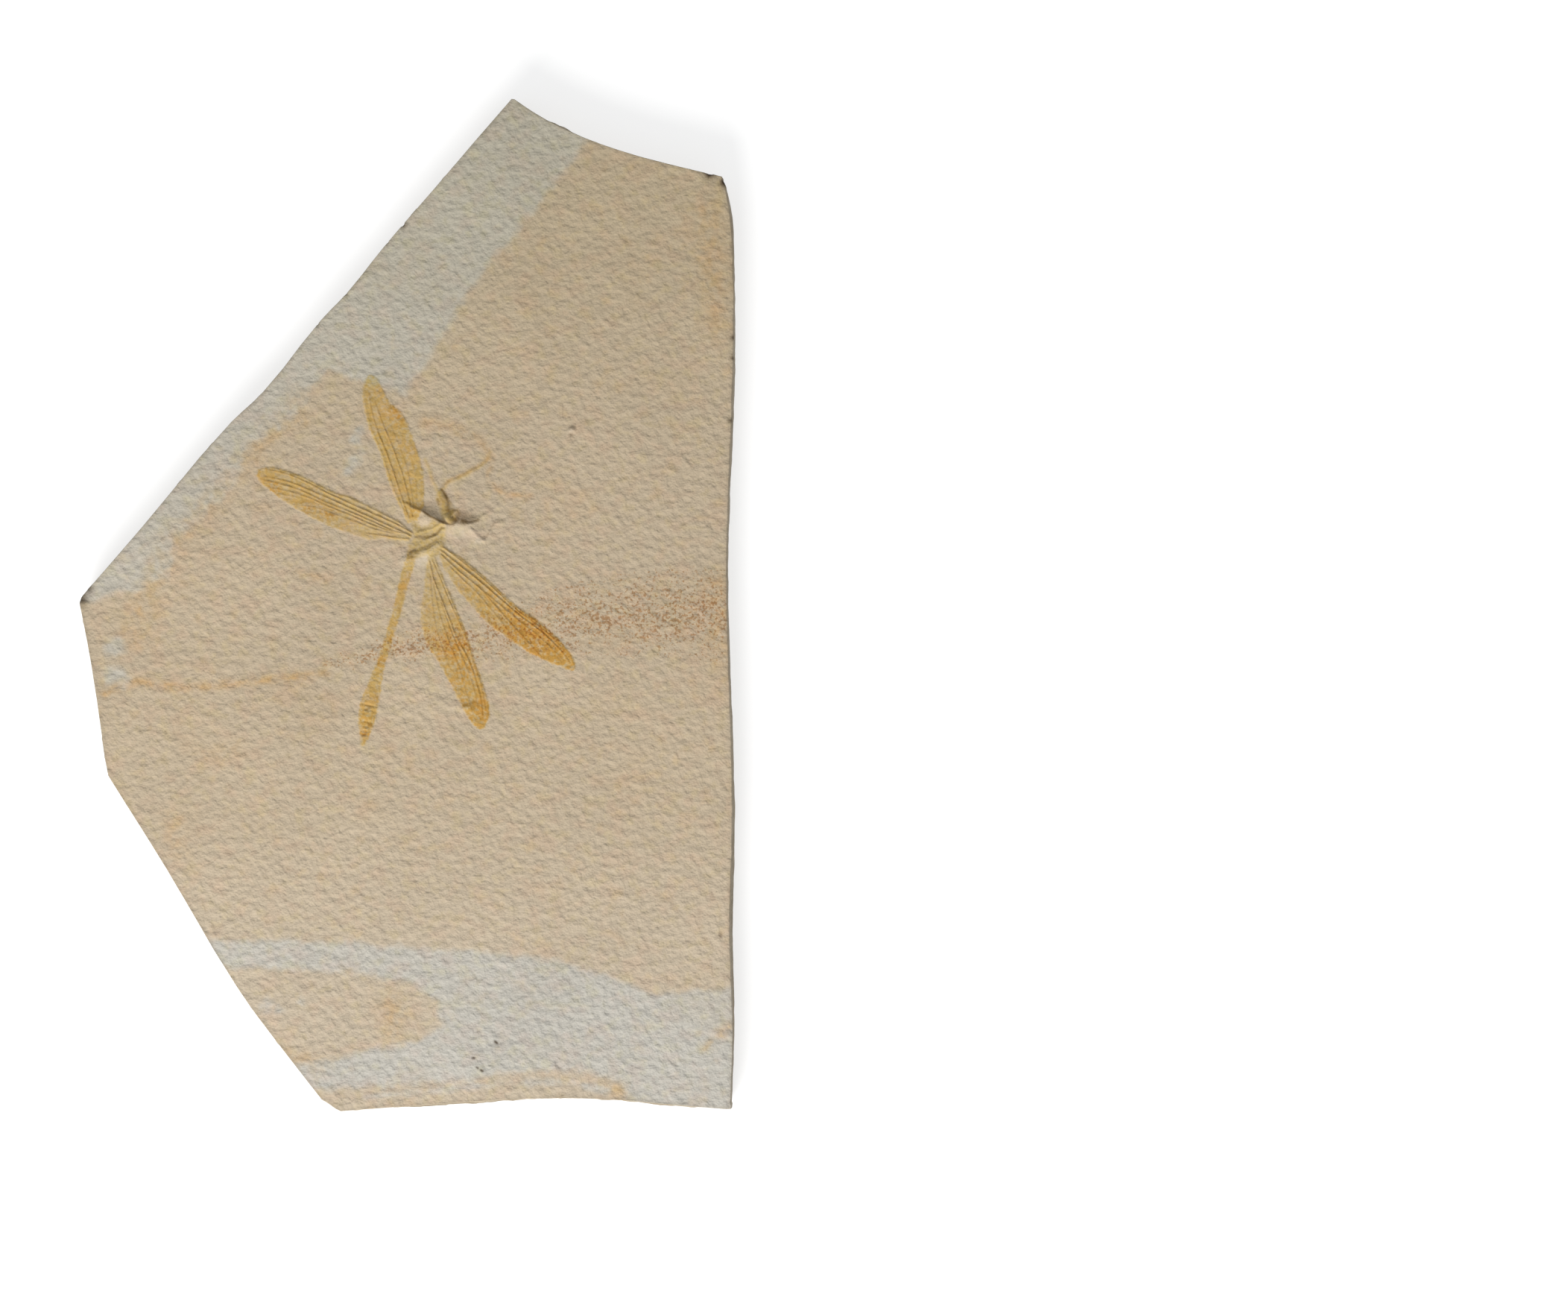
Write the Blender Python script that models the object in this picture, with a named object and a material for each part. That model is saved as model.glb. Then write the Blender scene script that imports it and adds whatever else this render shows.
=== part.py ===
"""A fossil dragonfly in low relief on a split plate of fine limestone.

Run with: blender --background --python part.py

The plate lies on its back with the insect on top. The origin is the centre of
the plate's plan on its underside, +Y runs up the plate and +Z is up. Stone and
insect are one piece: the insect is the shape of the split face itself.
All sizes and places below are in millimetres, and turns are in degrees.
"""

import math
import random

import bmesh
import bpy
from mathutils import Euler, Matrix, Vector

MM = 0.001

# The plate: three beds of stone, the lower two with edges that stand in or out as ledges.
THICKNESS = 9.0
TOP_BED_LOW = 5.6
LOWER_BEDS = {"low_bed": (0.0, 3.1, -0.35), "middle_bed": (2.7, 6.0, 0.4)}  # low, high, how far out
BED_RAGGEDNESS = 0.35
RAGGED_SEED = 7
WORN_EDGE = 0.35

# The plan, clockwise: the runs of the edge, each from one corner to the next.
TOP_EDGE = [(22.6, 108.8), (27.5, 105.5), (34.0, 102.0), (45.4, 97.6), (58.2, 94.1), (67.6, 91.9)]
RIGHT_EDGE = [
    (68.9, 90.0), (70.0, 83.4), (70.6, 74.0), (70.6, 51.4), (69.3, 13.0), (69.3, 0.0),
    (70.5, -44.6), (69.9, -70.2), (70.6, -92.0), (70.0, -108.2),
]
FOOT_EDGE = [
    (69.0, -108.4), (57.0, -107.4), (45.4, -106.4), (33.0, -106.0), (19.8, -106.4), (-14.6, -108.8),
]
LOWER_LEFT_EDGE = [(-18.6, -106.0), (-25.0, -97.8), (-36.0, -83.0), (-51.3, -57.4), (-64.2, -36.8)]
LEFT_EDGE = [(-64.9, -33.0), (-67.9, -12.6), (-70.4, 0.4)]
UPPER_LEFT_EDGE = [
    (-70.0, 1.6), (-57.0, 16.6), (-37.8, 39.2), (-31.2, 45.4), (-18.6, 61.0), (-12.8, 67.1),
    (-5.2, 76.6), (7.0, 90.7), (14.6, 99.6),
]
PLAN_RUNS = (TOP_EDGE, RIGHT_EDGE, FOOT_EDGE, LOWER_LEFT_EDGE, LEFT_EDGE, UPPER_LEFT_EDGE)

# Flakes broken off the rim: place, size and turn.
FLAKES = [
    ((-69.6, 1.0), 3.6, 20),
    ((-19.4, 60.4), 1.5, 50),
    ((-13.3, 66.9), 1.3, 30),
    ((-9.4, 71.6), 1.5, 65),
    ((-4.4, 77.9), 1.4, 40),
    ((-0.9, 81.5), 1.7, 15),
    ((66.3, 92.5), 1.6, 10),
    ((70.2, 57.3), 1.4, 70),
    ((70.3, 52.9), 1.2, 25),
    ((69.9, 39.5), 1.7, 55),
    ((-16.8, -107.6), 1.8, 35),
    ((-65.1, -35.0), 1.6, 60),
]
FLAKE_LIFT = 0.12  # how far a flake's middle lies above the split face, over its size
FLAKE_TILT = (35, 25)

# The wings: the leading and the trailing edge of each, both from root to tip.
UPPER_FOREWING = (
    [(0.4, 18.0), (-3.1, 27.6), (-7.7, 39.0), (-9.0, 44.7), (-8.8, 48.0)],
    [(1.8, 17.6), (3.0, 21.9), (2.7, 31.6), (-1.4, 41.3), (-4.2, 45.6), (-6.8, 49.2)],
)
LEFT_HINDWING = (
    [(0.8, 15.6), (-5.2, 18.7), (-17.7, 25.0), (-23.4, 28.2), (-28.0, 29.5), (-31.8, 29.2)],
    [(1.1, 13.3), (-6.9, 14.0), (-16.6, 17.3), (-27.2, 23.0), (-32.0, 27.0)],
)
LOWER_HINDWING = (
    [(5.6, 10.4), (9.1, 4.2), (13.4, -7.3), (16.8, -18.7), (17.5, -23.0), (16.6, -26.2)],
    [(4.7, 10.2), (3.1, 1.6), (3.9, -6.4), (7.7, -15.0), (12.3, -23.6), (14.4, -26.6)],
)
RIGHT_FOREWING = (
    [(7.4, 12.2), (16.6, 4.4), (21.1, 0.4), (30.0, -5.0), (34.8, -10.4), (36.0, -13.0)],
    [(6.4, 11.2), (10.3, 5.0), (17.1, -3.7), (24.0, -9.3), (29.1, -12.1), (34.6, -14.5)],
)
WINGS = {
    "upper_forewing": UPPER_FOREWING,
    "left_hindwing": LEFT_HINDWING,
    "lower_hindwing": LOWER_HINDWING,
    "right_forewing": RIGHT_FOREWING,
}
WING_RISE = 0.2
WING_SINK = 1.0
# Each long vein: where it lies from the leading to the trailing edge, and how far it reaches to the tip.
VEINS = ((0.1, 0.93), (0.24, 0.9), (0.38, 0.86), (0.55, 0.8), (0.76, 0.7))
VEIN_START = 0.03
VEIN_POINTS = 9
VEIN_RADIUS = 0.22
VEIN_THINNING = 0.45

# The abdomen, from the thorax to the tip: its centreline, with its half width at each point.
ABDOMEN = [
    ((1.6, 11.2), 1.05), ((-0.6, 4.8), 0.9), ((-2.9, -3.2), 0.8), ((-4.9, -10.1), 0.85),
    ((-5.7, -13.6), 0.95), ((-6.8, -17.0), 1.25), ((-8.1, -20.2), 1.65), ((-8.6, -23.0), 1.8),
    ((-9.0, -25.8), 1.45), ((-9.3, -28.0), 0.95), ((-9.5, -29.3), 0.4),
]
ABDOMEN_FLATNESS = 0.45
ABDOMEN_SEGMENTS = 10
RINGS_PER_SEGMENT = 4
SEGMENT_GROOVE = 0.16

# Rounded forms of the body: place, half length, half width, height above the stone, turn.
BODY_LUMPS = {
    "waist": ((1.3, 11.5), 1.7, 1.3, 1.0, 38),
    "hind_thorax": ((3.4, 12.9), 2.6, 1.9, 1.3, 38),
    "mid_thorax": ((6.0, 15.0), 2.7, 2.0, 1.5, 40),
    "shoulder": ((11.4, 15.3), 3.9, 2.1, 0.8, -22),
    "wing_base": ((4.0, 17.4), 1.9, 1.6, 0.6, 20),
    "neck": ((9.6, 18.3), 1.5, 1.4, 1.2, 35),
    "head": ((7.7, 22.0), 2.7, 1.25, 1.15, 117),
    "left_eye": ((6.8, 23.9), 1.2, 1.15, 1.3, 0),
    "right_eye": ((8.6, 20.3), 1.1, 1.05, 1.25, 0),
}

# Thin round ridges: points along each, with the radius at both ends.
RIDGES = {
    "left_foreleg": ([(9.0, 18.1), (6.2, 18.0), (3.7, 19.7), (1.6, 20.9), (-0.3, 22.1)], 0.6, 0.25),
    "right_foreleg": ([(10.2, 18.0), (12.4, 17.4), (15.2, 18.2), (20.4, 21.9), (26.2, 23.2)], 0.6, 0.14),
    "right_midleg": ([(12.2, 16.9), (15.9, 13.7), (17.2, 14.2), (19.0, 17.4), (21.2, 18.9)], 0.3, 0.14),
    "upper_foreleg": ([(7.0, 24.6), (11.9, 27.2), (14.8, 29.0), (17.2, 30.3), (18.2, 32.0)], 0.28, 0.14),
    "thin_foreleg": ([(6.2, 24.6), (5.8, 27.2), (4.7, 29.8)], 0.2, 0.12),
    "left_clasper": ([(-9.6, -28.9), (-10.2, -29.7)], 0.32, 0.2),
    "right_clasper": ([(-9.4, -28.9), (-9.2, -29.9)], 0.32, 0.2),
    "fold_in_wing": ([(6.2, -18.2), (8.4, -19.6), (10.6, -20.6), (13.4, -20.2), (15.6, -20.0)], 0.3, 0.2),
}
STEPS_PER_POINT = 3

# A small blister in the stone, away from the insect.
BLISTER_PLACE = (35.3, 36.7)
BLISTER_RADIUS = 1.3
BLISTER_HEIGHT = 0.35

STONE_COLOUR = (0.56, 0.47, 0.33, 1.0)
STONE_ROUGHNESS = 0.9


def clear_scene():
    for thing in list(bpy.data.objects):
        bpy.data.objects.remove(thing)


def new_collection(name):
    made = bpy.data.collections.new(name)
    bpy.context.scene.collection.children.link(made)
    return made


def stone_material():
    made = bpy.data.materials.new("limestone")
    made.use_nodes = True
    shader = made.node_tree.nodes["Principled BSDF"]
    shader.inputs["Base Color"].default_value = STONE_COLOUR
    shader.inputs["Roughness"].default_value = STONE_ROUGHNESS
    shader.inputs["Metallic"].default_value = 0.0
    return made


def hide(made):
    """Marks a solid that is only joined to the plate or cut from it."""
    made.hide_render = True
    made.display_type = "WIRE"


def as_mesh(curve_object, collection):
    """A mesh object in place of a curve object, with its caps welded on."""
    bpy.context.view_layer.update()
    graph = bpy.context.evaluated_depsgraph_get()
    mesh = bpy.data.meshes.new_from_object(curve_object.evaluated_get(graph))
    shape = bmesh.new()
    shape.from_mesh(mesh)
    bmesh.ops.remove_doubles(shape, verts=shape.verts, dist=0.01 * MM)
    shape.to_mesh(mesh)
    shape.free()
    made = bpy.data.objects.new(curve_object.name + "_form", mesh)
    made.matrix_world = curve_object.matrix_world
    collection.objects.link(made)
    bpy.data.objects.remove(curve_object)
    return made


def flat_solid(name, outline, low, high, collection):
    """A flat solid on a smooth outline, whose points are given as x, y and whether it is a corner."""
    curve = bpy.data.curves.new(name, "CURVE")
    curve.dimensions = "2D"
    curve.fill_mode = "BOTH"
    curve.resolution_u = 3
    curve.extrude = (high - low) / 2 * MM
    spline = curve.splines.new("BEZIER")
    spline.bezier_points.add(len(outline) - 1)
    for point, (x, y, corner) in zip(spline.bezier_points, outline):
        point.co = (x * MM, y * MM, 0)
        point.handle_left_type = point.handle_right_type = "VECTOR" if corner else "AUTO"
    spline.use_cyclic_u = True
    made = bpy.data.objects.new(name, curve)
    made.location.z = (low + high) / 2 * MM
    collection.objects.link(made)
    return as_mesh(made, collection)


def ridge(name, points, radii, flatness, lift, collection):
    """A ridge along points, with its axis at a lift above the split face."""
    curve = bpy.data.curves.new(name, "CURVE")
    curve.dimensions = "3D"
    curve.bevel_depth = 1.0 * MM
    curve.bevel_resolution = 2
    curve.use_fill_caps = True
    spline = curve.splines.new("POLY")
    spline.points.add(len(points) - 1)
    for point, (x, y), radius in zip(spline.points, points, radii):
        point.co = (x * MM, y * MM, 0, 1)
        point.radius = radius
    made = bpy.data.objects.new(name, curve)
    made.location.z = (THICKNESS + lift) * MM
    made.scale.z = flatness
    collection.objects.link(made)
    hide(as_mesh(made, collection))


def lump(name, place, radii, turn, collection):
    """A rounded form, half of it in the stone."""
    mesh = bpy.data.meshes.new(name)
    size = Matrix.Diagonal((*[radius * MM for radius in radii], 1.0))
    spin = Matrix.Rotation(math.radians(turn), 4, "Z")
    shift = Matrix.Translation((place[0] * MM, place[1] * MM, THICKNESS * MM))
    shape = bmesh.new()
    bmesh.ops.create_uvsphere(shape, u_segments=16, v_segments=10, radius=1.0, matrix=shift @ spin @ size)
    shape.to_mesh(mesh)
    shape.free()
    made = bpy.data.objects.new(name, mesh)
    collection.objects.link(made)
    hide(made)


def along(points, share):
    """The point at a share of the way along a smooth line through points."""
    last = len(points) - 1
    start = min(int(share * last), last - 1)
    t = share * last - start
    before, a, b, after = (Vector(points[min(max(start + step, 0), last)]) for step in (-1, 0, 1, 2))
    leave_a = 0.5 * (b - before)
    reach_b = 0.5 * (after - a)
    return (
        (2 * t**3 - 3 * t**2 + 1) * a
        + (t**3 - 2 * t**2 + t) * leave_a
        + (3 * t**2 - 2 * t**3) * b
        + (t**3 - t**2) * reach_b
    )


def plan(spread=0.0, raggedness=0.0):
    """The plate's outline, moved outwards by a spread and by a seeded unevenness."""
    rough = random.Random(RAGGED_SEED)
    outline = []
    for run in PLAN_RUNS:
        for x, y in run:
            corner = (x, y) in (run[0], run[-1])
            out = Vector((x, y)).normalized() * (spread + rough.uniform(-raggedness, raggedness))
            outline.append((x + out.x, y + out.y, corner))
    return outline


def wear_rim(plate):
    """Breaks the sharp edge round the split face."""
    shape = bmesh.new()
    shape.from_mesh(plate.data)
    top = max(vertex.co.z for vertex in shape.verts)
    rim = [
        edge for edge in shape.edges
        if all(vertex.co.z > top - 0.01 * MM for vertex in edge.verts)
        and edge.calc_face_angle(0) > math.radians(60)
    ]
    bmesh.ops.bevel(shape, geom=rim, offset=WORN_EDGE * MM, segments=1, affect="EDGES", clamp_overlap=True)
    shape.to_mesh(plate.data)
    shape.free()


def add_lower_beds(collection):
    for name, (low, high, spread) in LOWER_BEDS.items():
        hide(flat_solid(name, plan(spread, BED_RAGGEDNESS), low, high, collection))


def add_wings(collection):
    """Each wing as a thin raised field with its long veins on it."""
    for name, (leading, trailing) in WINGS.items():
        outline = [(x, y, False) for x, y in leading + trailing[::-1]]
        hide(flat_solid(name, outline, THICKNESS - WING_SINK, THICKNESS + WING_RISE, collection))
        for across, reach in VEINS:
            steps = [VEIN_START + (reach - VEIN_START) * n / (VEIN_POINTS - 1) for n in range(VEIN_POINTS)]
            line = [along(leading, step).lerp(along(trailing, step), across) for step in steps]
            radii = [VEIN_RADIUS * (1 - VEIN_THINNING * step) for step in steps]
            ridge(f"{name}_vein_{across}", line, radii, 1.0, WING_RISE, collection)


def add_abdomen(collection):
    """The thin stalk and wider end of the abdomen, nipped in where its segments meet."""
    line = []
    radii = []
    rings = ABDOMEN_SEGMENTS * RINGS_PER_SEGMENT
    for number in range(rings + 1):
        share = number / rings
        joint = math.cos(share * ABDOMEN_SEGMENTS * math.pi) ** 8
        line.append(along([place for place, _ in ABDOMEN], share))
        half_width = along([(width, 0.0) for _, width in ABDOMEN], share).x
        radii.append(half_width * (1 - SEGMENT_GROOVE * joint))
    ridge("abdomen", line, radii, ABDOMEN_FLATNESS, 0.0, collection)


def add_body_lumps(collection):
    for name, (place, half_length, half_width, height, turn) in BODY_LUMPS.items():
        lump(name, place, (half_length, half_width, height), turn, collection)


def add_ridges(collection):
    for name, (points, thick, thin) in RIDGES.items():
        count = STEPS_PER_POINT * (len(points) - 1)
        shares = [number / count for number in range(count + 1)]
        line = [along(points, share) for share in shares]
        ridge(name, line, [thick + (thin - thick) * share for share in shares], 1.0, 0.0, collection)


def add_flakes(collection):
    """Uneven flakes to break out of the rim."""
    for number, (place, size, turn) in enumerate(FLAKES):
        mesh = bpy.data.meshes.new(f"flake_{number + 1}")
        tilt = Euler([math.radians(angle) for angle in (*FLAKE_TILT, turn)]).to_matrix().to_4x4()
        shift = Matrix.Translation((place[0] * MM, place[1] * MM, (THICKNESS + FLAKE_LIFT * size) * MM))
        shape = bmesh.new()
        bmesh.ops.create_icosphere(shape, subdivisions=1, radius=0.62 * size * MM, matrix=shift @ tilt)
        shape.to_mesh(mesh)
        shape.free()
        made = bpy.data.objects.new(mesh.name, mesh)
        collection.objects.link(made)
        hide(made)


def add_boolean(plate, name, operation, collection):
    step = plate.modifiers.new(name, "BOOLEAN")
    step.operation = operation
    step.operand_type = "COLLECTION"
    step.collection = collection
    step.solver = "EXACT"


def build():
    clear_scene()
    fossil = new_collection("fossil_dragonfly")
    relief = new_collection("relief_forms")
    breaks = new_collection("break_forms")

    plate = flat_solid("plate", plan(), TOP_BED_LOW, THICKNESS, fossil)
    wear_rim(plate)
    plate.name = "fossil_slab"
    plate.data.materials.append(stone_material())

    add_flakes(breaks)
    add_boolean(plate, "break off the flakes", "DIFFERENCE", breaks)

    add_lower_beds(relief)
    add_wings(relief)
    add_abdomen(relief)
    add_body_lumps(relief)
    add_ridges(relief)
    lump("blister", BLISTER_PLACE, (BLISTER_RADIUS, BLISTER_RADIUS, BLISTER_HEIGHT), 0, relief)
    add_boolean(plate, "join the relief", "UNION", relief)


build()
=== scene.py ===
"""The looks of a fossil dragonfly: one plate of fine limestone with the insect in low relief.

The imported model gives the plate's plan, its walls and the height of its split face. Here the
plate gets its fine surface: grain, worn rim, broken walls, the insect's veins, body and legs,
and the stains of the stone. Lengths are in millimetres unless a name or comment says otherwise.
"""

import math

import bmesh
import bpy
import numpy as np
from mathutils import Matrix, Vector, noise
from mathutils.bvhtree import BVHTree
from mathutils.geometry import delaunay_2d_cdt
from mathutils.kdtree import KDTree


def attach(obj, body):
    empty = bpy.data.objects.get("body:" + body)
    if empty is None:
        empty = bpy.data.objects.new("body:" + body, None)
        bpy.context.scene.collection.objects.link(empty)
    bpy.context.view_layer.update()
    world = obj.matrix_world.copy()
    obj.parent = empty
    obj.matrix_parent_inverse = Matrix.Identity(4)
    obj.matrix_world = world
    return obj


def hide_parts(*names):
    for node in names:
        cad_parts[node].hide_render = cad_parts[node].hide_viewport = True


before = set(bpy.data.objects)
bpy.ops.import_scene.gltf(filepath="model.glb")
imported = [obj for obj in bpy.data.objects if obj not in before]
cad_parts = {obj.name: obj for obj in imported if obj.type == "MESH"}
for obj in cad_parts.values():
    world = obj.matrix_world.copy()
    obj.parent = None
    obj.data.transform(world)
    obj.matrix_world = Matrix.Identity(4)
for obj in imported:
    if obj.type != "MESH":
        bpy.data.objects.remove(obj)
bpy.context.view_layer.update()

MM = 0.001

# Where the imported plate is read.
BARE_SPOT = (40.0, 60.0)
PLAN_LEVEL = 7.4
REACH = 6.0

# The mesh: point spacings, finest on the insect.
WALL_STEP = 0.8
FLAKE_STEP = 0.32
VEIN_SPACING = (0.34, 0.15)
BODY_SPACING = 0.2
FACE_SPACING = 0.8
BASE_SPACING = 2.6
WALL_ROWS = (0.0, 0.12, 0.32, 0.6, 1.05, 1.6, 2.2, 2.8, 3.3, 3.9, 4.5, 5.1, 5.7, 6.2, 6.8, 7.4, 8.0, 8.5, 8.85)

# The rim: how far its bevel reaches in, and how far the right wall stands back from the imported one.
BEVEL_RIGHT = 0.3
BEVEL = 0.12
RIGHT_STANDS_BACK = 0.5

# Flakes broken off the rim: place, half length along the rim, depth, darkness.
FLAKES = [
    ((-69.6, 1.0), 1.6, 0.2, 0.9),
    ((-67.9, 3.2), 0.9, 0.3, 0.7),
    ((-19.4, 60.4), 0.55, 0.3, 0.6),
    ((-13.3, 66.9), 0.55, 0.3, 0.7),
    ((-9.4, 71.6), 0.4, 0.2, 0.5),
    ((-4.4, 77.9), 0.5, 0.3, 0.7),
    ((-0.9, 81.5), 0.7, 0.4, 0.9),
    ((64.8, 92.3), 1.2, 0.5, 1.0),
    ((68.0, 90.6), 1.3, 0.3, 1.0),
    ((69.7, 57.3), 0.7, 0.35, 1.0),
    ((69.8, 52.9), 0.6, 0.3, 0.9),
    ((69.4, 39.5), 0.6, 0.35, 0.9),
    ((-16.8, -107.6), 0.8, 0.3, 0.2),
    ((-65.1, -35.0), 0.7, 0.3, 0.2),
]

# The wings. Each lies in a frame of its own: x from root to tip, y towards the leading edge.
# A vein is its strength and its points. Gold and orange are amounts at the root and at the tip.
WINGS = {
    "left_hindwing": {
        "root": (0.95, 14.45),
        "tip": (-32.2, 28.23),
        "leading_side": -1,
        "leading": [
            (0, 0.9), (2.5, 1.8), (5, 2.25), (15, 2.9), (18, 2.6), (21, 2.65), (27, 3.05), (33, 2.5), (35.9, 0.7),
        ],
        "trailing": [
            (0, -0.9), (5, -2.4), (7.4, -3.6), (10.5, -4.2), (19, -4.45), (27, -3.5), (34, -1.6), (35.7, -0.5),
        ],
        "veins": [
            (1.0, [(0, 0.9), (5, 1.3), (10, 1.45), (17, 1.65), (20, 1.75), (25, 2.2), (30, 2.25), (34.5, 1.4)]),
            (1.0, [(0, 0.1), (2.7, 0.25), (6, 0.35), (10, 0.5), (15.5, 0.7), (24, 0.9), (29, 0.8), (34, -0.1)]),
            (0.8, [(2, 0.1), (4, -0.3), (9, -0.2), (15, -0.1), (20, -0.15), (26, 0.1), (31, -0.4), (34, -0.9)]),
            (0.8, [(3.8, -0.5), (9, -0.85), (14, -0.75), (19, -0.8), (24, -0.7), (29, -1.2), (32.5, -2)]),
            (0.6, [(4, -0.8), (8, -1.5), (12, -1.6), (17, -1.8), (22, -2.2), (26, -3.3)]),
            (0.8, [(0.5, -0.6), (2.5, -1.3), (6.2, -2.2), (9, -2.9)]),
        ],
        "fan": 0.9,
        "gold": (0.62, 0.9),
        "orange": (0.0, 0.2),
    },
    "right_forewing": {
        "root": (6.9, 11.7),
        "tip": (35.8, -14.2),
        "leading_side": 1,
        "leading": [
            (0, 1.2), (5, 1.95), (10, 2.2), (20, 2.15), (26, 2.7), (30, 2.9), (34, 2.5), (36.7, 1.8), (38.4, 0.9),
        ],
        "trailing": [
            (0, -0.7), (5, -2.6), (8.3, -3.5), (15.5, -4.5), (20, -4.6), (28, -3.5), (35, -1.65), (38.6, 0),
        ],
        "veins": [
            (0.9, [(0, 0.9), (3.3, 1.25), (10, 1.6), (15, 1.6), (21, 1.5), (26, 2), (31, 2.2), (36, 1.5)]),
            (1.1, [(0, 0.1), (4.2, 0.35), (10, 0.7), (15, 0.85), (22, 1), (28, 1.5), (34, 1.3), (37, 0.6)]),
            (0.9, [(1, -0.5), (6, -0.6), (10, -0.4), (12.7, -0.35), (15, -0.65), (20, -1.3), (26, -1.9), (31, -2.4)]),
            (0.6, [(12.7, -0.3), (18, -0.1), (23, 0.1), (29, 0.4), (35, 0.2)]),
            (0.6, [(4, -1.2), (8, -1.4), (12, -1.5), (16, -2), (20, -2.6), (24, -3.3)]),
        ],
        "fan": 0.6,
        "gold": (0.74, 0.98),
        "orange": (0.05, 0.85),
    },
    "lower_hindwing": {
        "root": (5.15, 10.3),
        "tip": (15.63, -26.85),
        "leading_side": 1,
        "leading": [
            (0, 0.8), (5, 1.3), (11.8, 2.1), (18, 2.8), (24, 2.9), (31, 3.35), (34, 3.2), (36.5, 2.5), (38.4, 1),
        ],
        "trailing": [
            (0, -0.7), (5, -2.75), (10.5, -5.2), (14, -6), (18, -5.8), (21.5, -4.8), (28, -3.2), (35.5, -1.7),
            (38.5, 0),
        ],
        "veins": [
            (0.8, [(1, 0), (5, 0.55), (10, 1.1), (15.5, 2), (20, 2.5), (25, 2.55), (30, 2.8), (35, 2.3)]),
            (1.0, [(1, -0.6), (5, -0.8), (10, -0.3), (15, 0.2), (18, 0.5), (24.6, 1.8), (32, 1.9), (36, 1.3)]),
            (0.7, [(10, -0.6), (15, -0.4), (20, 0.1), (25, 0.8), (29, 1.1), (34, 0.8)]),
            (0.6, [(6, -1.2), (12, -1.6), (18, -1.4), (24, -0.8), (30, -0.7), (35, -0.6)]),
            (0.5, [(4, -1.4), (9, -2.4), (14, -3.1), (19, -3.1), (25, -2.6)]),
        ],
        "fan": 0.5,
        "gold": (0.65, 1.0),
        "orange": (0.0, 0.55),
    },
    "upper_forewing": {
        "root": (1.1, 17.8),
        "tip": (-8.0, 49.3),
        "leading_side": 1,
        "leading": [
            (0, 0.9), (5, 1.8), (8.6, 2.3), (15.5, 2.5), (21.4, 3.2), (25.2, 3.2), (29.3, 2.7), (31, 1.9), (32.6, 0.6),
        ],
        "trailing": [
            (0, -1), (3, -3.4), (8.3, -4.8), (11.8, -5.3), (20, -4.9), (24.2, -3.7), (26, -2.3), (31, -1.5),
            (32.7, -0.2),
        ],
        "veins": [
            (0.9, [(1, 0.5), (2.7, 0.65), (8, 0.85), (12, 1), (15, 1.2), (18, 1.5), (21, 1.8), (25, 1.8), (29, 1.3)]),
            (0.8, [(1, -0.3), (5, -0.6), (10, -0.75), (12.4, -0.65), (17, -0.3), (22, 0.3), (27, 0.6)]),
            (0.5, [(2, -0.9), (6, -1.5), (11, -2), (16, -1.8), (21, -1.2)]),
            (0.4, [(2.5, -1.4), (6, -2.6), (10, -3.4), (15, -3.6)]),
        ],
        "fan": 0.4,
        "gold": (1.0, 0.8),
        "orange": (0.15, 0.2),
    },
}
FAN_STARTS = range(6, 26, 2)
FAN_LENGTH = 6.0
MEMBRANE_RISE = 0.09
VEIN_RISE = 0.22
VEIN_WIDTH = 0.17
FAN_RISE = 0.04
FAN_WIDTH = 0.15
# Places in the wings where the orange is stronger: place, reach, amount.
ORANGE_SPOTS = [
    ((-28.6, 24.6), 1.6, 0.6), ((-16.6, 19.6), 1.5, 0.7), ((-21.5, 20.5), 2.6, 0.35), ((-1.0, 41.4), 2.6, 0.6),
    ((24.5, -4.0), 2.6, 0.5), ((28.0, -8.5), 3.6, 0.4), ((11.0, -8.5), 3.2, 0.55), ((12.6, -14.0), 2.0, 0.5),
    ((16.0, -22.5), 2.4, 0.3), ((-3.9, -7.6), 1.6, 0.4), ((-5.6, -12.4), 1.2, 0.5), ((-8.8, -24.6), 2.0, 0.35),
    ((-9.2, -27.8), 1.0, 0.8), ((-1.0, 4.0), 1.2, 0.3), ((0.8, 19.4), 1.5, 0.2),
]

# The abdomen: its centreline from the thorax to the tip, with half widths.
ABDOMEN = [
    ((1.0, 10.4), 1.0), ((-0.4, 5.8), 1.0), ((-1.4, 1.8), 0.9), ((-2.3, -2.0), 0.85), ((-3.2, -4.8), 0.85),
    ((-4.1, -7.6), 0.85), ((-4.9, -10.4), 0.85), ((-5.9, -13.6), 0.95), ((-6.8, -16.6), 1.25),
    ((-7.8, -20.2), 1.75), ((-8.5, -23.6), 1.8), ((-8.9, -26.2), 1.4), ((-9.2, -28.2), 0.9), ((-9.5, -29.8), 0.5),
]
ABDOMEN_RISE = 0.24
# Joints and wrinkles across the abdomen: share of the way along, depth.
ABDOMEN_JOINTS = [
    (0.13, 0.15), (0.27, 0.15), (0.41, 0.2), (0.55, 0.25), (0.665, 0.5), (0.8, 0.5), (0.825, 0.3), (0.885, 0.4),
    (0.91, 0.4), (0.935, 0.5), (0.955, 0.4),
]

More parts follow.
